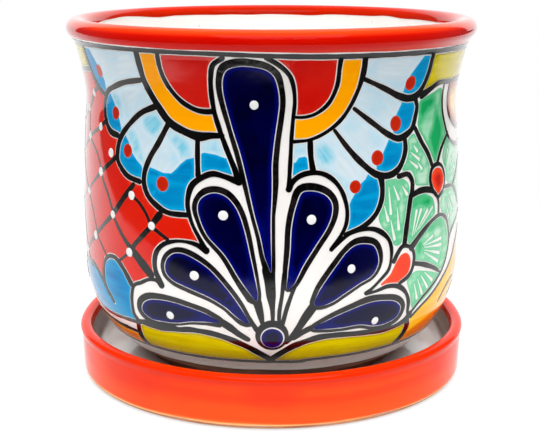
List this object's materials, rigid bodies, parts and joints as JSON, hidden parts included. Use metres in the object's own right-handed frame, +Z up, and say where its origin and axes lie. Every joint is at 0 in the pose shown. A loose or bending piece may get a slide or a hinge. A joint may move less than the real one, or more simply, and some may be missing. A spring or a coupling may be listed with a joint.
{
  "type": "flower pot with saucer",
  "caption": "Round glazed earthenware flower pot with a rolled rim, a waisted wall and a drain hole, standing loose in a shallow lipped saucer.",
  "frame": {"origin": "centre of the ring that the saucer stands on, at the height of the table", "axes": "+Z up along the axis that both pieces were turned on; the pictured side of the painting faces -Y"},
  "size_m": [0.18, 0.18, 0.1598],
  "materials": {
    "saucer": "glossy orange-red glaze outside, white glaze inside, bare clay ring underneath",
    "pot": "glossy white glaze painted by hand in several colours, with bare clay at the foot"
  },
  "bodies": {
    "saucer": {"saucer": "saucer"},
    "pot": {"pot": "pot"}
  },
  "joints": [
    {"name": "pot_lift", "type": "slide", "parent": "saucer", "child": "pot", "axis": [0, 0, 1], "range_m": [0, 0.1]}
  ]
}
